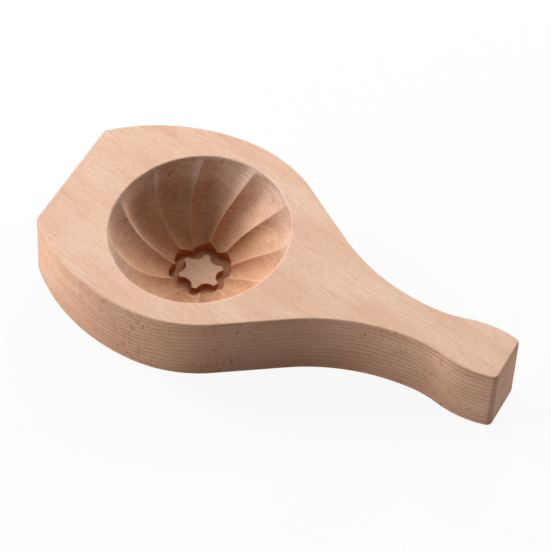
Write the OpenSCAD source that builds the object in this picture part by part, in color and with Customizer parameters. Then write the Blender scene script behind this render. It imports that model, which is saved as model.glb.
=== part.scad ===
// Wooden bun mold: one paddle of solid beech with a twisted, fluted flower bowl
// carved into its head. Millimetres. The origin is on the underside, below the
// middle of the bowl. +X runs along the handle and +Z is up.

/* [Plank] */
// Thickness of the plank
plank_t = 31; // [25:0.5:45]
// Width of the head where it is widest
head_w = 103; // [98:0.5:120]
// Distance from the bowl's middle back to the flat end of the head
head_back = 60; // [50:0.5:68]
// Distance from the bowl's middle to the end of the handle
handle_reach = 137.5; // [132:0.5:160]
// How far the head's widest point lies behind the bowl's middle
widest_back = 3; // [0:0.5:6]
// Radius of the head's sides behind the widest point
head_side_r = 80; // [70:0.5:120]
// Radius of the shoulders in front of the widest point
shoulder_r = 56; // [50:0.5:62]
// Angle of the straight flanks between the shoulders and the throat
flank_angle = 34.8; // [33:0.1:40]
// Width of the chamfer along the outer edges
edge_ease = 0.8; // [0.3:0.1:1]

/* [Handle] */
// Width of the handle at its waist
waist_w = 18.6; // [14:0.1:22]
// Distance from the bowl's middle to the waist
waist_x = 102; // [96:0.5:108]
// Width of the handle where it swells for the hand
swell_w = 25.2; // [24:0.1:32]
// Distance from the bowl's middle to the swell
swell_x = 125.5; // [122:0.5:130]
// Radius of the corners at the handle's end
end_corner_r = 4; // [2:0.5:6]
// Radius of the corners at the head's flat end
head_corner_r = 2; // [1.5:0.5:5]

/* [Bowl] */
// Width of the bowl's rim across the plank
bowl_w = 80; // [64:0.5:86]
// Length of the bowl's rim along the plank
bowl_l = 73.4; // [64:0.2:80]
// Wood left under the deepest cut
floor_t = 2; // [2:0.1:6]
// How steeply the wall sweeps up to the rim: 0 is a straight cone
rim_sweep = 0.41; // [0:0.01:0.6]
// Width of the eased edge round the rim
rim_ease = 0.5; // [0.2:0.1:1]

/* [Flower] */
// Distance from the rim's middle to the flower's, towards the handle
flower_x = 1; // [-2:0.1:2]
// Number of flutes round the bowl
flutes = 11; // [6:1:16]
// How deep a flute is scooped behind its crests, halfway down the wall
flute_depth = 4; // [1:0.1:6]
// Turn of each flute between the rim and the star, in degrees
twist = 16.5; // [0:0.5:40]
// Turn of the whole ring of flutes, in degrees
flute_turn = 18.7; // [0:0.1:60]

/* [Star] */
// Radius of the circle through the star's points
star_r = 9.2; // [8:0.1:12]
// Number of points on the star
star_points = 6; // [5:1:8]
// Turn of the star, in degrees
star_turn = -19.5; // [-60:0.5:60]
// Radius of the round bites between the points
bite_r = 4.2; // [3:0.1:6]
// Depth of a bite, from the circle through the points
bite_depth = 2.6; // [1:0.1:3]
// Width of the groove round the star, where a lobe is
groove_w = 4.4; // [3:0.1:6]
// Radius of the lobes on the groove's outer side
lobe_r = 5.2; // [5:0.1:7]
// Depth of the groove below the star's top
groove_d = 2.2; // [1:0.1:4]

/* [Hidden] */
$fn = 96;
// Overshoot of the cutters past the face that they cut
over = 0.3;
// Most that a straight step may stray from the arc that it follows
arc_error = 0.02;
// The groove's lobes are cut by eye: the angle of each in degrees, and how much
// further out than the groove's width it runs
groove_lobes = [[30, -1.2], [60, 0.2], [107, 0.5], [162, -0.2], [217, -0.3], [254, -0.2],
                [288, 0], [332, -0.5]];
// Steps from the star up to the rim, and steps across one flute
bowl_steps = 20;
flute_steps = 8;

function along(a) = [cos(a), sin(a)];
function bearing(v) = atan2(v.y, v.x);
// Middle of the corner circle at x that touches the inside of a side's arc
function corner_mid(x, mid, r) = [x, mid.y + sqrt(pow(r, 2) - pow(x - mid.x, 2))];

// The shoulder's circle, the straight flank that leaves it, and the throat's arc,
// which starts on the flank and ends level at the waist
side_mid = [-widest_back, head_w / 2 - head_side_r];
shoulder_mid = [-widest_back, head_w / 2 - shoulder_r];
flank_start = shoulder_mid + shoulder_r * along(90 - flank_angle);
flank_foot_x = flank_start.x + (flank_start.y - waist_w / 2) / tan(flank_angle);
throat_r = (waist_x - flank_foot_x) / tan(flank_angle / 2);
throat_mid = [waist_x, waist_w / 2 + throat_r];

// From the waist to the swell, a hollow arc and a round arc of the same radius
grip_run = swell_x - waist_x;
grip_rise = (swell_w - waist_w) / 2;
grip_r = (pow(grip_run, 2) + pow(grip_rise, 2)) / (4 * grip_rise);
grip_angle = asin(grip_run / (2 * grip_r));
hollow_mid = [waist_x, waist_w / 2 + grip_r];
swell_mid = [swell_x, swell_w / 2 - grip_r];

head_corner_mid = corner_mid(-head_back + head_corner_r, side_mid, head_side_r - head_corner_r);
end_corner_mid = corner_mid(handle_reach - end_corner_r, swell_mid, grip_r - end_corner_r);
head_corner_turn = bearing(head_corner_mid - side_mid);
end_corner_turn = bearing(end_corner_mid - swell_mid);

// The side of the paddle at +Y as arcs, from the head's flat end to the handle's:
// middle, radius, and the way that the side faces where the arc starts and ends.
// A radius below zero is a hollow. Straight lines join arcs that don't touch.
side_arcs = [
    [head_corner_mid, head_corner_r, 180, head_corner_turn],
    [side_mid, head_side_r, head_corner_turn, 90],
    [shoulder_mid, shoulder_r, 90, 90 - flank_angle],
    [throat_mid, -throat_r, 90 - flank_angle, 90],
    [hollow_mid, -grip_r, 90, 90 + grip_angle],
    [swell_mid, grip_r, 90 + grip_angle, end_corner_turn],
    [end_corner_mid, end_corner_r, end_corner_turn, 0]
];

// Points of one arc, moved inwards by inset
function arc_points(arc, inset) =
    let (
        turn = arc[3] - arc[2],
        steps = ceil(abs(turn) / (2 * acos(1 - arc_error / abs(arc[1]))))
    )
    [for (i = [0:steps]) arc[0] + (arc[1] - inset) * along(arc[2] + turn * i / steps)];

// Drops each point that repeats the one before it, as where two arcs touch
function no_repeats(points) =
    [for (i = [0:len(points) - 1])
        if (i == 0 || norm(points[i] - points[i - 1]) > arc_error / 10) points[i]];

// Outline of the whole paddle, the same on both sides of its middle line
function outline(inset = 0) =
    let (side = no_repeats([for (arc = side_arcs) each arc_points(arc, inset)]))
    concat([for (p = side) [p.x, -p.y]],
           [for (i = [len(side) - 1:-1:0]) side[i]]);

function at_height(points, z) = [for (p = points) [p.x, p.y, z]];

// Heights in the bowl
star_top = floor_t + groove_d;
rim_z = plank_t - rim_ease;
// Radius of the bowl's lowest ring, which the groove cuts away
foot_r = star_r - 0.4;

// Distance from the flower's middle to the rim, along the angle a and moved inwards
// by inset. The rim is an oval whose middle lies a little off the flower's.
function rim_reach(a, inset) =
    let (
        long = bowl_l / 2 - inset,
        wide = bowl_w / 2 - inset,
        p = pow(cos(a) / long, 2) + pow(sin(a) / wide, 2),
        q = flower_x * cos(a) / pow(long, 2),
        s = pow(flower_x / long, 2) - 1
    )
    (sqrt(pow(q, 2) - p * s) - q) / p;

// A point of the carved bowl. reach is 0 at the star and 1 at the rim. turn is the
// place round the bowl, counted in flutes: a whole number lies on a crest.
function bowl_point(reach, turn) =
    let (
        level = (1 - rim_sweep) * reach + rim_sweep * pow(reach, 5),
        share = pow(reach, 0.7),
        across = 1 - pow(2 * (turn - floor(turn)) - 1, 2),
        scoop = flute_depth * 4 * share * (1 - share) * across,
        a = bowl_angle(turn) + twist * (1 - pow(reach, 2)),
        out = foot_r + (rim_reach(a, rim_ease) - foot_r) * reach + scoop
    )
    [flower_x + out * cos(a), out * sin(a), star_top + (rim_z - star_top) * level];

// A point of the eased rim, carried on past the top of the plank
function lip_point(turn) =
    let (a = bowl_angle(turn), out = rim_reach(a, -over))
    [flower_x + out * cos(a), out * sin(a), plank_t + over];

function bowl_angle(turn) = flute_turn + turn * 360 / flutes;

// A closed solid through rings of points, from the lowest ring to the highest
module skin(rings) {
    n = len(rings[0]);
    last = len(rings) - 1;
    polyhedron(
        points = [for (ring = rings) each ring],
        faces = concat(
            [[for (i = [0:n - 1]) i], [for (i = [n - 1:-1:0]) last * n + i]],
            [for (j = [0:last - 1], i = [0:n - 1])
                let (a = j * n + i, b = j * n + (i + 1) % n)
                each [[a, a + n, b + n], [a, b + n, b]]]
        )
    );
}

// The paddle before it is carved: the sawn outline, with its outer edges eased by a
// body that is a little larger and slopes in at the top and the bottom
module paddle() {
    narrow = outline(edge_ease + over);
    wide = outline(-over);
    intersection() {
        linear_extrude(plank_t) polygon(outline());
        skin([
            at_height(narrow, -over),
            at_height(wide, edge_ease + over),
            at_height(wide, plank_t - edge_ease - over),
            at_height(narrow, plank_t + over)
        ]);
    }
}

// Space of the fluted bowl above the level of the star
module bowl_space() {
    turns = [for (i = [0:flutes * flute_steps - 1]) i / flute_steps];
    skin(concat(
        [for (j = [0:bowl_steps]) [for (turn = turns) bowl_point(j / bowl_steps, turn)]],
        [[for (turn = turns) lip_point(turn)]]
    ));
}

// Outline of the star that stands in the middle of the bowl
module star() {
    difference() {
        circle(star_r);
        for (i = [0:star_points - 1])
            rotate(star_turn + (i + 0.5) * 360 / star_points)
                translate([star_r - bite_depth + bite_r, 0]) circle(bite_r);
    }
}

// Outer outline of the groove round the star
module groove_outline() {
    circle(star_r + groove_w / 3);
    for (lobe = groove_lobes)
        rotate(lobe[0])
            translate([star_r + groove_w + lobe[1] - lobe_r, 0]) circle(lobe_r);
}

// The plank is carved down to the groove's floor, where the star is left standing
module mold_body() {
    color("burlywood") {
        difference() {
            paddle();
            bowl_space();
            translate([flower_x, 0, floor_t])
                linear_extrude(plank_t - floor_t) groove_outline();
        }
        translate([flower_x, 0, floor_t / 2])
            linear_extrude(star_top - floor_t / 2) star();
    }
}

mold_body();
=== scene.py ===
"""The look of a wooden bun mold: a beech paddle with a twisted, fluted flower bowl.

The paddle is sawn, eased and carved here in the order that a maker would do it, and takes
the place of the plain solid. Its sizes are those of the CAD model, except for deeper
flutes and crisper corners at the end of the handle. Sizes are named in millimetres and
turned into metres by MM.
"""
from math import acos, asin, atan2, ceil, cos, floor, hypot, pi, radians, sin, sqrt, tan

import bmesh
import bpy
from mathutils import Matrix, Vector


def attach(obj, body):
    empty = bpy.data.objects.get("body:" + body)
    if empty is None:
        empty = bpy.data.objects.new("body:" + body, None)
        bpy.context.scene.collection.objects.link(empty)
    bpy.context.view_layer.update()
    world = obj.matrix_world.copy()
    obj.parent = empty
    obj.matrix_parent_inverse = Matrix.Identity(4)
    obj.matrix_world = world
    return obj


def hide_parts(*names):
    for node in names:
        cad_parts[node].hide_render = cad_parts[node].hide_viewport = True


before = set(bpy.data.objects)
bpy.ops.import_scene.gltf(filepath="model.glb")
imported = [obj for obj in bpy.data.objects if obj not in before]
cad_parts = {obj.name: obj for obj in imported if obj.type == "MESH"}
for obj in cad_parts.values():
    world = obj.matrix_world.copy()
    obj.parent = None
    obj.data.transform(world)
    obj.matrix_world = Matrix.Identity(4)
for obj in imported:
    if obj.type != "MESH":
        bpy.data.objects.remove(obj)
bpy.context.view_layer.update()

MM = 0.001

# Plank and handle, as in the CAD model, but with crisper corners at the handle's end
PLANK_T = 31 * MM
HEAD_W = 103 * MM
HEAD_BACK = 60 * MM
HANDLE_REACH = 137.5 * MM
WIDEST_BACK = 3 * MM
HEAD_SIDE_R = 80 * MM
SHOULDER_R = 56 * MM
FLANK_ANGLE = radians(34.8)
WAIST_W = 18.6 * MM
WAIST_X = 102 * MM
SWELL_W = 25.2 * MM
SWELL_X = 125.5 * MM
END_CORNER_R = 2.6 * MM
HEAD_CORNER_R = 2 * MM
EDGE_EASE = 0.8 * MM

# Bowl, star and groove
BOWL_W = 80 * MM
BOWL_L = 73.4 * MM
FLOOR_T = 2 * MM
FLUTES = 11
TWIST = radians(16.5)
FLUTE_TURN = radians(18.7)
FLOWER_X = 1 * MM
RIM_SWEEP = 0.41
RIM_EASE = 0.5 * MM
STAR_R = 9.2 * MM
STAR_POINTS = 6
STAR_TURN = radians(-19.5)
BITE_R = 4.2 * MM
BITE_DEPTH = 2.6 * MM
GROOVE_W = 4.4 * MM
GROOVE_D = 2.2 * MM
LOBE_R = 5.2 * MM
# The angle of each lobe of the groove, and how much further out than GROOVE_W it runs
GROOVE_LOBES = ((30, -1.2), (60, 0.2), (107, 0.5), (162, -0.2), (217, -0.3), (254, -0.2),
                (288, 0), (332, -0.5))
STAR_TOP = FLOOR_T + GROOVE_D
STAR_EASE = 0.15 * MM
# Radius of the bowl's lowest ring, which the groove cuts away
FOOT_R = STAR_R - 0.4 * MM
RIM_Z = PLANK_T - RIM_EASE

# The flutes as they are carved: a little deeper than in the CAD model, and fuller towards
# the rim. Their crests stray from even spacing, as hand work does: by how much of a flute
# at the star, and halfway up the wall.
CARVED_DEPTH = 5.8 * MM
FULLNESS = 0.6
CREST_STRAY = ((0, 0.04), (0, 0.07), (0.12, -0.03), (-0.05, 0.04), (-0.22, -0.02),
               (-0.14, -0.09), (0.1, 0), (0, 0), (0, 0), (0, 0), (0.04, 0))

# A crest is worn round over this share of its height, and its colour moves towards the flat
# face's within this distance
CREST_WEAR = 0.06
CREST_LINE = 0.45 * MM

# How fine the meshes are. The steps across a flute lie closest beside its crests.
ARC_ERROR = 0.004 * MM
ROUND_SIDES = 96
HALF_FLUTE = (0, 0.011, 0.024, 0.043, 0.075, 0.12, 0.18, 0.25, 0.33, 0.415)
ACROSS_FLUTE = HALF_FLUTE + (0.5,) + tuple(1 - share for share in reversed(HALF_FLUTE[1:]))
BOWL_STEPS = 72
LIP_STEPS = 5
# Points closer than this are one point
TOUCH = 1e-7


# ---- Drawing an outline as a line of points -------------------------------------------

def along(angle):
    """One unit in the way that an angle faces, seen from above."""
    return Vector((cos(angle), sin(angle), 0))


def deselect_everything():
    if bpy.context.object and bpy.context.object.mode != "OBJECT":
        bpy.ops.object.mode_set(mode="OBJECT")
    bpy.ops.object.select_all(action="DESELECT")


def start_line(name, place):
    """A new piece in edit mode that is one selected point at place."""
    deselect_everything()
    bpy.ops.mesh.primitive_plane_add(size=MM)
    bpy.context.object.name = name
    bpy.ops.object.mode_set(mode="EDIT")
    bpy.ops.mesh.select_all(action="SELECT")
    bpy.ops.mesh.merge(type="CENTER")
    bpy.ops.transform.translate(value=place)
    return place


def line_to(pen, place):
    """Draws a straight line from the pen's place, unless it is there already."""
    if (place - pen).length > TOUCH:
        bpy.ops.mesh.extrude_vertices_move(TRANSFORM_OT_translate={"value": place - pen})
    return place


def arc_to(pen, middle, radius, start, end):
    """Draws a line to the arc's start and then the arc, whose radius is below zero in a
    hollow. start and end are the ways that the outline faces there."""
    line_to(pen, middle + radius * along(start))
    steps = max(2, ceil(abs(end - start) / (2 * acos(1 - ARC_ERROR / abs(radius)))))
    bpy.ops.mesh.spin(steps=steps, angle=end - start, center=middle, axis=(0, 0, -1))
    return middle + radius * along(end)


def close_and_fill():
    """Joins the ends of the outline and fills it with one flat face."""
    bpy.ops.mesh.select_all(action="SELECT")
    bpy.ops.mesh.remove_doubles(threshold=TOUCH)
    bpy.ops.mesh.edge_face_add()


def thicken(low, high):
    """Turns the filled outline into a slab between two heights."""
    bpy.ops.mesh.select_all(action="SELECT")
    bpy.ops.transform.translate(value=(0, 0, low))
    bpy.ops.mesh.extrude_region_move(TRANSFORM_OT_translate={"value": (0, 0, high - low)})
    bpy.ops.mesh.select_all(action="SELECT")
    bpy.ops.mesh.normals_make_consistent(inside=False)


def select_edges(test):
    """In edit mode, selects the edges for which test is true."""
    bpy.ops.mesh.select_mode(type="EDGE")
    bpy.ops.mesh.select_all(action="DESELECT")
    mesh = bpy.context.object.data
    shape = bmesh.from_edit_mesh(mesh)
    for edge in shape.edges:
        edge.select_set(test(edge))
    shape.select_flush_mode()
    bmesh.update_edit_mesh(mesh)


def at_level(edge, z):
    """Whether an edge lies flat at one height."""
    return all(abs(v.co.z - z) < TOUCH for v in edge.verts)


# ---- The paddle before it is carved ---------------------------------------------------

def sawn_paddle():
    """The plank sawn to its outline, with its edges rounded."""
    # The shoulder's circle, the straight flank that leaves it, and the throat's arc
    side_mid = Vector((-WIDEST_BACK, HEAD_W / 2 - HEAD_SIDE_R, 0))
    shoulder_mid = Vector((-WIDEST_BACK, HEAD_W / 2 - SHOULDER_R, 0))
    flank = shoulder_mid + SHOULDER_R * along(pi / 2 - FLANK_ANGLE)
    foot_x = flank.x + (flank.y - WAIST_W / 2) / tan(FLANK_ANGLE)
    throat_r = (WAIST_X - foot_x) / tan(FLANK_ANGLE / 2)
    throat_mid = Vector((WAIST_X, WAIST_W / 2 + throat_r, 0))

    # From the waist to the swell, a hollow arc and a round arc of the same radius
    run, rise = SWELL_X - WAIST_X, (SWELL_W - WAIST_W) / 2
    grip_r = (run ** 2 + rise ** 2) / (4 * rise)
    grip_angle = asin(run / (2 * grip_r))
    hollow_mid = Vector((WAIST_X, WAIST_W / 2 + grip_r, 0))
    swell_mid = Vector((SWELL_X, SWELL_W / 2 - grip_r, 0))

    def corner(x, middle, radius):
        """Middle of the corner circle at x that touches the inside of a side's arc."""
        return Vector((x, middle.y + sqrt(radius ** 2 - (x - middle.x) ** 2), 0))

    head_corner = corner(-HEAD_BACK + HEAD_CORNER_R, side_mid, HEAD_SIDE_R - HEAD_CORNER_R)
    end_corner = corner(HANDLE_REACH - END_CORNER_R, swell_mid, grip_r - END_CORNER_R)
    head_turn = atan2(head_corner.y - side_mid.y, head_corner.x - side_mid.x)
    end_turn = atan2(end_corner.y - swell_mid.y, end_corner.x - swell_mid.x)

    pen = start_line("carved_paddle", Vector((-HEAD_BACK, 0, 0)))
    for middle, radius, start, end in (
        (head_corner, HEAD_CORNER_R, pi, head_turn),
        (side_mid, HEAD_SIDE_R, head_turn, pi / 2),
        (shoulder_mid, SHOULDER_R, pi / 2, pi / 2 - FLANK_ANGLE),
        (throat_mid, -throat_r, pi / 2 - FLANK_ANGLE, pi / 2),
        (hollow_mid, -grip_r, pi / 2, pi / 2 + grip_angle),
        (swell_mid, grip_r, pi / 2 + grip_angle, end_turn),
        (end_corner, END_CORNER_R, end_turn, 0),
    ):
        pen = arc_to(pen, middle, radius, start, end)
    line_to(pen, Vector((HANDLE_REACH, 0, 0)))

    # The other side is the same line turned over
    bpy.ops.mesh.select_all(action="SELECT")
    bpy.ops.mesh.duplicate()
    bpy.ops.transform.resize(value=(1, -1, 1), center_override=(0, 0, 0))
    close_and_fill()
    thicken(0, PLANK_T)

    # A light rounding of the sawn edges
    select_edges(lambda edge: at_level(edge, 0) or at_level(edge, PLANK_T))
    bpy.ops.mesh.bevel(offset=EDGE_EASE, segments=4, profile=0.5, affect="EDGES")
    bpy.ops.mesh.select_mode(type="VERT")
    bpy.ops.object.mode_set(mode="OBJECT")
    return bpy.context.object


# ---- What is carved out of it ---------------------------------------------------------

def rim_reach(angle, inset):
    """How far the rim is from the flower's middle, which lies a little off the rim's."""
    length, width = BOWL_L / 2 - inset, BOWL_W / 2 - inset
    a = (cos(angle) / length) ** 2 + (sin(angle) / width) ** 2
    b = FLOWER_X * cos(angle) / length ** 2
    c = (FLOWER_X / length) ** 2 - 1
    return (sqrt(b * b - a * c) - b) / a


def stray(reach, turn):
    """How far the crests on both sides of a place stray, as a part of a flute."""
    def of_crest(crest):
        at_star, halfway = CREST_STRAY[crest % FLUTES]
        return (at_star + halfway * 4 * reach) * (1 - reach)
    return of_crest(floor(turn)) * (1 - turn % 1) + of_crest(floor(turn) + 1) * (turn % 1)


def level_at(reach):
    """How high the wall is at a reach, as a share of its height."""
    return reach * (1 - RIM_SWEEP) + RIM_SWEEP * reach ** 5


def bowl_place(reach, turn):
    """A place in the bowl. reach is 0 at the star and 1 at the rim. turn counts flutes
    round the bowl, and is a whole number on a crest."""
    share = reach ** 0.7
    across = 1 - (2 * (turn % 1) - 1) ** 2
    across = (hypot(across, CREST_WEAR) - CREST_WEAR) / (hypot(1, CREST_WEAR) - CREST_WEAR)
    scoop = CARVED_DEPTH * (4 * share * (1 - share)) ** FULLNESS * across
    angle = (FLUTE_TURN + (turn + stray(reach, turn)) * 2 * pi / FLUTES
             + TWIST * (1 - reach ** 2))
    out = FOOT_R + (rim_reach(angle, RIM_EASE) - FOOT_R) * reach + scoop
    return Vector((FLOWER_X + out * cos(angle), out * sin(angle),
                   STAR_TOP + (RIM_Z - STAR_TOP) * level_at(reach)))


def lip_place(share, turn):
    """A place on the eased rim, which rounds over from the wall to the plank's top and
    ends just above it. It starts steep and then leans out."""
    angle = FLUTE_TURN + turn * 2 * pi / FLUTES
    out = rim_reach(angle, RIM_EASE) + RIM_EASE * (0.5 * share + 1.3 * share ** 2)
    rise = RIM_EASE * (1.6 * share - 0.45 * share ** 2)
    return Vector((FLOWER_X + out * cos(angle), out * sin(angle), RIM_Z + rise))


def bowl_cutter():
    """A flat sheet of squares, rolled up into the bowl and capped at both ends."""
    rows, columns = BOWL_STEPS + LIP_STEPS, FLUTES * len(ACROSS_FLUTE)
    deselect_everything()
    bpy.ops.mesh.primitive_grid_add(x_subdivisions=columns, y_subdivisions=rows, size=1)
    cutter = bpy.context.object
    cutter.name = "bowl_cutter"
    bpy.ops.object.mode_set(mode="EDIT")
    shape = bmesh.from_edit_mesh(cutter.data)
    for v in shape.verts:
        flute, step = divmod(round((v.co.x + 0.5) * columns), len(ACROSS_FLUTE))
        turn = flute + ACROSS_FLUTE[step]
        row = round((v.co.y + 0.5) * rows)
        if row <= BOWL_STEPS:
            v.co = bowl_place(row / BOWL_STEPS, turn)
        else:
            v.co = lip_place((row - BOWL_STEPS) / LIP_STEPS, turn)
    bmesh.update_edit_mesh(cutter.data)
    bpy.ops.mesh.select_all(action="SELECT")
    bpy.ops.mesh.remove_doubles(threshold=TOUCH)
    bpy.ops.mesh.fill_holes(sides=0)
    bpy.ops.mesh.select_all(action="SELECT")
    bpy.ops.mesh.normals_make_consistent(inside=False)
    bpy.ops.object.mode_set(mode="OBJECT")
    return cutter


def carve(body, tool, operation):
    """Cuts a tool's shape out of the body, or joins it on, and throws the tool away."""
    deselect_everything()
    bpy.context.view_layer.objects.active = body
    body.select_set(True)
    bpy.ops.object.modifier_add(type="BOOLEAN")
    cut = body.modifiers[-1]
    cut.operation, cut.solver, cut.object = operation, "EXACT", tool
    bpy.ops.object.modifier_apply(modifier=cut.name)
    bpy.data.objects.remove(tool)


def star_block():
    """The flat star in the middle of the bowl, with its feet down in the wood."""
    bite_out = STAR_R - BITE_DEPTH + BITE_R
    # Where a bite's circle meets the circle through the points
    half = acos((bite_out ** 2 + STAR_R ** 2 - BITE_R ** 2) / (2 * bite_out * STAR_R))
    step = 2 * pi / STAR_POINTS
    flower = Vector((FLOWER_X, 0, 0))
    pen = start_line("star_block", flower + STAR_R * along(STAR_TURN + step / 2 - half))
    for i in range(STAR_POINTS):
        turn = STAR_TURN + (i + 0.5) * step
        middle = bite_out * along(turn)
        start = STAR_R * along(turn - half) - middle
        end = STAR_R * along(turn + half) - middle
        a, b = atan2(-start.y, -start.x), atan2(-end.y, -end.x)
        while b > a:
            b -= 2 * pi
        pen = arc_to(pen, flower + middle, -BITE_R, a, b)
        pen = arc_to(pen, flower, STAR_R, turn + half, turn + step - half)
    close_and_fill()
    thicken(FLOOR_T / 2, STAR_TOP)
    select_edges(lambda edge: at_level(edge, STAR_TOP))
    bpy.ops.mesh.bevel(offset=STAR_EASE, segments=2, profile=0.5, affect="EDGES")
    bpy.ops.mesh.select_mode(type="VERT")
    bpy.ops.object.mode_set(mode="OBJECT")
    return bpy.context.object


def groove_cutter():
    """The well that the star stands in: round, with lobes that run out of it."""
    middle = Vector((FLOWER_X, 0, (PLANK_T + FLOOR_T) / 2))

    def plug(place, radius):
        deselect_everything()
        bpy.ops.mesh.primitive_cylinder_add(
            vertices=ROUND_SIDES, radius=radius, depth=PLANK_T - FLOOR_T, location=place)
        return bpy.context.object

    well = plug(middle, STAR_R + GROOVE_W / 3)
    well.name = "groove_cutter"
    for angle, further in GROOVE_LOBES:
        lobe_out = STAR_R + GROOVE_W + further * MM - LOBE_R
        carve(well, plug(middle + lobe_out * along(radians(angle)), LOBE_R), "UNION")
    return well


def mark_crests(body):
    """Marks how near each place in the bowl is to the line of a crest."""
    mark = body.data.attributes.new("crest", "FLOAT", "POINT")
    for v, spot in zip(body.data.vertices, mark.data):
        x, y, level = v.co.x - FLOWER_X, v.co.y, (v.co.z - STAR_TOP) / (RIM_Z - STAR_TOP)
        out = hypot(x, y)
        if not 0 < level <= 1.001 or out > rim_reach(atan2(y, x), -RIM_EASE):
            continue
        # Halves its way to the reach that has this level
        low, high = 0.0, 1.0
        for _ in range(24):
            reach = (low + high) / 2
            if level_at(reach) < level:
                low = reach
            else:
                high = reach
        place = (atan2(y, x) - FLUTE_TURN - TWIST * (1 - reach ** 2)) * FLUTES / (2 * pi)
        # The stray depends on the turn itself, so it is settled in a few rounds
        turn = place
        for _ in range(6):
            turn = place - stray(reach, turn)
        off = min(abs(turn - round(turn)) * out * 2 * pi / FLUTES, RIM_Z - v.co.z)
        spot.value = 1 - min(1, max(0, off / CREST_LINE))


paddle = sawn_paddle()
carve(paddle, bowl_cutter(), "DIFFERENCE")
carve(paddle, groove_cutter(), "DIFFERENCE")
carve(paddle, star_block(), "UNION")
mark_crests(paddle)

SMOOTH_BELOW = radians(26)
deselect_everything()
bpy.context.view_layer.objects.active = paddle
paddle.select_set(True)
bpy.ops.object.shade_smooth_by_angle(angle=SMOOTH_BELOW)

# The top and the underside stay flat right up to the roundings that meet them
SLIVER = 0.2 * MM ** 2
LEVEL = 0.9999
round_flats = {key for face in paddle.data.polygons for key in face.edge_keys
               if face.area > SLIVER and abs(face.normal.z) > LEVEL}
for edge in paddle.data.edges:
    if edge.key in round_flats:
        edge.use_edge_sharp = True


# ---- Finishes -------------------------------------------------------------------------

class Value:
    """A socket in a finish, on which plain arithmetic adds Math nodes."""

    def __init__(self, finish, socket):
        self.finish, self.socket = finish, socket

    def maths(self, operation, *values):
        return self.finish.node("Math", {"operation": operation}, dict(enumerate(values)))

    def __add__(self, other):
        return self.maths("ADD", self, other)

    def __sub__(self, other):
        return self.maths("SUBTRACT", self, other)

    def __rsub__(self, other):
        return self.maths("SUBTRACT", other, self)

    def __mul__(self, other):
        return self.maths("MULTIPLY", self, other)

    def __truediv__(self, other):
        return self.maths("DIVIDE", self, other)

    __radd__, __rmul__ = __add__, __mul__

    def output(self, name):
        """Another output of the same node."""
        return Value(self.finish, self.socket.node.outputs[name])


class Finish:
    """A material or a world, with the one way in which its nodes are made."""

    def __init__(self, owner):
        owner.use_nodes = True
        self.owner, self.tree = owner, owner.node_tree
        self.tree.nodes.clear()

    def node(self, kind, settings=None, sockets=None, gives=0):
        """Makes a node, sets it, then gives its sockets their values or links."""
        made = self.tree.nodes.new("ShaderNode" + kind)
        for name, value in (settings or {}).items():
            if name == "stops":
                ramp = made.color_ramp
                while len(ramp.elements) < len(value):
                    ramp.elements.new(1)
                for element, (place, colour) in zip(ramp.elements, value):
                    element.position, element.color = place, colour
            else:
                setattr(made, name, value)
        for name, value in (sockets or {}).items():
            if isinstance(value, Value):
                self.tree.links.new(value.socket, made.inputs[name])
            else:
                made.inputs[name].default_value = value
        return Value(self, made.outputs[gives]) if made.outputs else None

    def mix(self, share, first, second):
        """A colour between two, by share."""
        return self.node("Mix", {"data_type": "RGBA"}, {0: share, 6: first, 7: second}, gives=2)

    def ease(self, value, low, high, out_low=0.0, out_high=1.0):
        """Turns value from low to high into a soft step from out_low to out_high."""
        return self.node("MapRange", {"interpolation_type": "SMOOTHSTEP"},
                         {0: value, 1: low, 2: high, 3: out_low, 4: out_high})

    def grain_noise(self, place, sizes, detail=2.0, rough=0.5, turn=(0, 0, 0)):
        """Noise whose grains have these three sizes in millimetres."""
        scaled = self.node("Mapping", {"vector_type": "POINT"}, {
            0: place, 1: turn, 3: tuple(1 / size for size in sizes)})
        return self.node("TexNoise", {}, {
            "Vector": scaled, "Scale": 1.0, "Detail": detail, "Roughness": rough})


def sun_colour(red, green, blue):
    """A colour as it is seen on a screen, 0 to 255, made linear."""
    def linear(part):
        part /= 255
        return part / 12.92 if part <= 0.04045 else ((part + 0.055) / 1.055) ** 2.4
    return (linear(red), linear(green), linear(blue), 1)


# The grain runs this far off the paddle's length, and a year's layer is this many
# millimetres thick
GRAIN_TURN = radians(13)
RING_PITCH = 2.3

FACE = sun_colour(222, 189, 165)
# Partly the edge grain's own colour, partly a painted sheen: paler than the flat face so the
# sides look lit
EDGE = sun_colour(231, 192, 167)
END = sun_colour(203, 166, 146)
RING = sun_colour(192, 138, 104)
PORE = sun_colour(158, 104, 74)
CARVED = sun_colour(232, 207, 189)
# Painted shade: the darker, redder colour that the bowl takes low down, where shade falls
CARVED_SHADE_LOW = sun_colour(212, 164, 128)
CARVED_RING = sun_colour(150, 94, 62)
# The groove's floor and walls are darker and redder than the bowl
GROOVE_FLOOR = sun_colour(206, 152, 112)
GROOVE_WALL_BROWN = sun_colour(200, 124, 80)
GROOVE_DARK_BROWN = sun_colour(140, 80, 50)


def plank_place(finish):
    """Millimetres in the plank, with the first axis along the grain."""
    return finish.node("Mapping", {"vector_type": "POINT"}, {
        0: finish.node("TexCoord", gives=3), 2: (0, 0, GRAIN_TURN), 3: (1000, 1000, 1000)})


def facings(finish):
    """How far a surface stands up from the flat, and how far it is cut across the grain."""
    normal = finish.node("TexCoord", gives=1)
    up = finish.node("SeparateXYZ", {}, {0: normal}).output("Z")
    grainwise = finish.node("VectorMath", {"operation": "DOT_PRODUCT"}, {
        0: normal, 1: (cos(GRAIN_TURN), -sin(GRAIN_TURN), 0)}, gives=1)
    return (finish.ease(up.maths("ABSOLUTE", up), 0.35, 0.95, 1.0, 0.0),
            finish.ease(up.maths("ABSOLUTE", grainwise), 0.35, 0.75))


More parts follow.
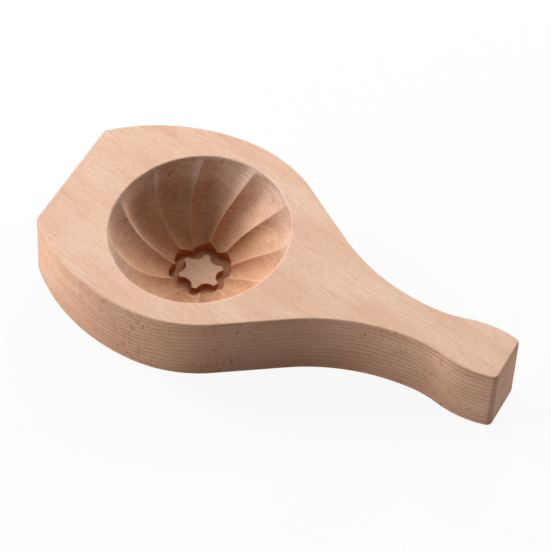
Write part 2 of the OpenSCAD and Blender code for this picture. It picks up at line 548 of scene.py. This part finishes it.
def year_rings(finish, place):
    """Layers of the plank that bow and waver: the thin late wood that ends each layer,
    a fainter line between, and a slower change from one group of layers to the next."""
    split = finish.node("SeparateXYZ", {}, {0: place})
    across, up = split.output("Y"), split.output("Z")
    waver = finish.grain_noise(place, (60, 22, 22), 2.0)
    fine_waver = finish.grain_noise(place, (11, 4, 4), 2.0)
    depth = up + across * across * 0.0016 + across * 0.02 + waver * 5 + fine_waver * 1.2
    layer = depth / RING_PITCH
    ring = layer.maths("FRACT", layer)
    half_ring = layer.maths("FRACT", layer * 2 + 0.3)
    late = finish.ease(ring, 0.3, 0.85) - finish.ease(ring, 0.87, 1.0)
    fine_late = finish.ease(half_ring, 0.4, 0.8) - finish.ease(half_ring, 0.85, 1.0)
    group = finish.node("TexNoise", {"noise_dimensions": "1D"}, {
        "W": layer, "Scale": 0.45, "Detail": 2.0, "Roughness": 0.6})
    return late, fine_late, group


def wood(name, face, edge, end, ring, pore, wide_rings, fine_rings, flat_rings, rough, gloss,
         low_shade=None, crest_colour=None):
    """Beech in the colours of its flat face, its edge grain and its end grain. On the sawn
    sides the edge colour is paler than edge grain alone, partly a painted sheen.

    The rings show by wide_rings and fine_rings, and flat_rings is the share of them that
    shows on a flat face. The colour for low in the bowl is painted shade, darker and redder
    there, and the crests and the rim lean towards the last colour."""
    finish = Finish(bpy.data.materials.new(name))
    place = plank_place(finish)
    upright, end_grain = facings(finish)
    late, fine_late, group = year_rings(finish, place)
    late = late * wide_rings + fine_late * fine_rings
    late = late * (flat_rings + (1 - flat_rings) * upright)

    # Pores are short dark dashes along the grain, with a few long ones among them
    short = finish.ease(finish.grain_noise(place, (2.6, 0.16, 0.5), 1.0, 0.6), 0.56, 0.72)
    fleck = finish.ease(finish.grain_noise(place, (5.0, 0.28, 3.0), 1.0, 0.5), 0.6, 0.75)
    long = finish.ease(finish.grain_noise(place, (24, 0.3, 0.8), 1.0, 0.5), 0.68, 0.8)
    # Rays are short marks that stand upright on edge grain
    ray = finish.ease(finish.grain_noise(place, (0.5, 8.0, 4.5), 0.0, 0.5), 0.62, 0.74)
    ray = ray * finish.ease(finish.grain_noise(place, (14, 20, 12), 1.0), 0.5, 0.62) * upright
    # Where the grain is cut across, the pores are dots
    dot = finish.ease(finish.grain_noise(place, (0.6, 0.32, 0.28), 1.0, 0.6), 0.5, 0.7)
    dot = dot * end_grain
    cloud = finish.grain_noise(place, (45, 14, 14), 3.0)
    streak = finish.grain_noise(place, (30, 1.2, 1.2), 3.0, 0.6)

    # Upright faces take the edge colour, which on the sawn sides is partly a painted sheen
    colour = finish.mix(upright, face, edge)
    colour = finish.mix(end_grain, colour, end)
    # Painted shade: towards the star the bowl's colour turns darker and redder
    if low_shade:
        height = finish.node("SeparateXYZ", {}, {0: place}).output("Z")
        colour = finish.mix(finish.ease(height, STAR_TOP / MM, PLANK_T / MM, 1, 0), colour, low_shade)
    for share, stain in (
        (late * finish.ease(cloud, 0.38, 0.62, 0.6, 1), ring),
        (finish.ease(group, 0.35, 0.7, 0, 0.3) * upright, ring),
        (finish.ease(cloud, 0.3, 0.7, 0, 0.28), ring),
        (finish.ease(streak, 0.35, 0.75, 0, 0.22), ring),
        (short * 0.45, pore),
        (fleck * 0.3, pore),
        (long * 0.5, pore),
        (ray * 0.7, pore),
        (dot * 0.3, pore),
    ):
        colour = finish.mix(share, colour, stain)
    # Near the crest lines and the rim, the colour moves a little towards the given crest colour
    if crest_colour:
        crest = finish.node("Attribute", {"attribute_name": "crest"}, gives=2)
        colour = finish.mix(crest * 0.35, colour, crest_colour)

    # Late wood stands a little proud, and pores are small hollows
    height = late * 0.3 - short * 0.6 - fleck * 0.3 - long * 0.5 - ray * 0.3 - dot * 0.3
    bump = finish.node("Bump", {}, {"Strength": 0.3, "Distance": 0.0001, "Height": height})
    shader = finish.node("BsdfPrincipled", {}, {
        "Base Color": colour, "Roughness": rough + short * 0.1, "Normal": bump,
        "Specular IOR Level": gloss})
    finish.node("OutputMaterial", {}, {0: shader})
    return finish.owner


paddle.data.materials.clear()
for coat in (
    wood("beech", FACE, EDGE, END, RING, PORE,
         wide_rings=0.75, fine_rings=0.4, flat_rings=0.15, rough=0.66, gloss=0.22),
    wood("carved_beech", CARVED, CARVED, CARVED, CARVED_RING, CARVED_RING,
         wide_rings=0.05, fine_rings=0.22, flat_rings=0.8, rough=0.7, gloss=0.15,
         low_shade=CARVED_SHADE_LOW, crest_colour=FACE),
    wood("groove_beech", GROOVE_FLOOR, GROOVE_WALL_BROWN, GROOVE_WALL_BROWN, GROOVE_DARK_BROWN, GROOVE_DARK_BROWN,
         wide_rings=0.2, fine_rings=0.1, flat_rings=0.3, rough=0.7, gloss=0.15),
):
    paddle.data.materials.append(coat)

SAWN, BOWL, GROOVE = 0, 1, 2
HAIR = 0.02 * MM
UPRIGHT = 0.05


def coat_of(face):
    """The bowl is carved, and the walls and floor of its groove are a darker, redder brown.
    The rest is sanded, as is the flat top of the star."""
    middle = face.center
    out = hypot(middle.x - FLOWER_X, middle.y)
    rim = rim_reach(atan2(middle.y, middle.x - FLOWER_X), 0)
    if not (0.5 * MM < middle.z < PLANK_T - 0.05 * MM and out < rim):
        return SAWN
    wall = abs(face.normal.z) < UPRIGHT and out < STAR_R + GROOVE_W + MM
    if middle.z < FLOOR_T + HAIR or wall and middle.z < PLANK_T / 2:
        return GROOVE
    return BOWL if out > STAR_R or middle.z > STAR_TOP + HAIR else SAWN


for face in paddle.data.polygons:
    face.material_index = coat_of(face)

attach(paddle, "root")
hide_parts("mold_body")


# ---- Floor, light and camera ----------------------------------------------------------

FLOOR_SIZE = 4.0
FLOOR_GAP = 0.2 * MM
deselect_everything()
bpy.ops.mesh.primitive_plane_add(size=FLOOR_SIZE, location=(0, 0, -FLOOR_GAP))
paper_floor = bpy.context.object
paper_floor.name = "floor"


def seen_directly(finish):
    """1 where the camera looks straight at the surface, or sees it by gloss or glass."""
    straight = finish.node("LightPath")
    either = straight.maths("MAXIMUM", straight, straight.output("Is Glossy Ray"))
    return either.maths("MAXIMUM", either, straight.output("Is Transmission Ray"))


# White paper: it glows by itself where it is seen, and the rest of it takes the shadow
GLOW_SHARE = 0.92
paper = Finish(bpy.data.materials.new("white_paper"))
lit = paper.node("BsdfDiffuse", {}, {"Color": (0.75, 0.75, 0.75, 1)})
glow = paper.node("Emission", {}, {"Color": (1, 1, 1, 1), "Strength": 1.0})
paper.node("OutputMaterial", {}, {
    0: paper.node("MixShader", {}, {0: seen_directly(paper) * GLOW_SHARE, 1: lit, 2: glow})})
paper_floor.data.materials.append(paper.owner)

# The studio is white to look at, and gives the object only a little light
AMBIENT = 0.04
sky = Finish(bpy.data.worlds.new("studio"))
bpy.context.scene.world = sky.owner
strength = seen_directly(sky) * (1 - AMBIENT) + AMBIENT
sky.node("OutputWorld", {}, {
    0: sky.node("Background", {}, {"Color": (1, 1, 1, 1), "Strength": strength})})


LAMP_DISTANCE = 1.5
LAMP_SIZE = 0.4


def softbox(name, azimuth, elevation, watts):
    """A square lamp that shines on the bowl from a direction given in degrees."""
    deselect_everything()
    a, e = radians(azimuth), radians(elevation)
    place = LAMP_DISTANCE * Vector((cos(a) * cos(e), sin(a) * cos(e), sin(e)))
    bpy.ops.object.light_add(type="AREA", location=place)
    lamp = bpy.context.object
    lamp.name = name
    lamp.rotation_euler = (-place).to_track_quat("-Z", "Y").to_euler()
    lamp.data.size = LAMP_SIZE
    lamp.data.energy = watts


softbox("window", azimuth=177, elevation=31, watts=20)
softbox("left", azimuth=216, elevation=23, watts=9)
softbox("front", azimuth=280, elevation=16, watts=1.5)
softbox("right", azimuth=64, elevation=21, watts=11)
softbox("far_side", azimuth=102, elevation=38, watts=9)
softbox("above", azimuth=130, elevation=62, watts=2.5)

CAMERA_PLACE = Vector((360.37, -702.30, 951.77)) * MM
CAMERA_TARGET = Vector((32.668, 4.605, 15.5)) * MM
CAMERA_ROLL = radians(3.518)
LENS = 196.45
deselect_everything()
bpy.ops.object.camera_add(location=CAMERA_PLACE)
camera = bpy.context.object
aim = (CAMERA_TARGET - CAMERA_PLACE).to_track_quat("-Z", "Y").to_matrix()
camera.rotation_euler = (aim @ Matrix.Rotation(CAMERA_ROLL, 3, "Z")).to_euler()
camera.data.sensor_width = 36
camera.data.lens = LENS
camera.data.clip_start, camera.data.clip_end = 0.01, 20
bpy.context.scene.camera = camera

bpy.context.scene.view_settings.view_transform = "Standard"
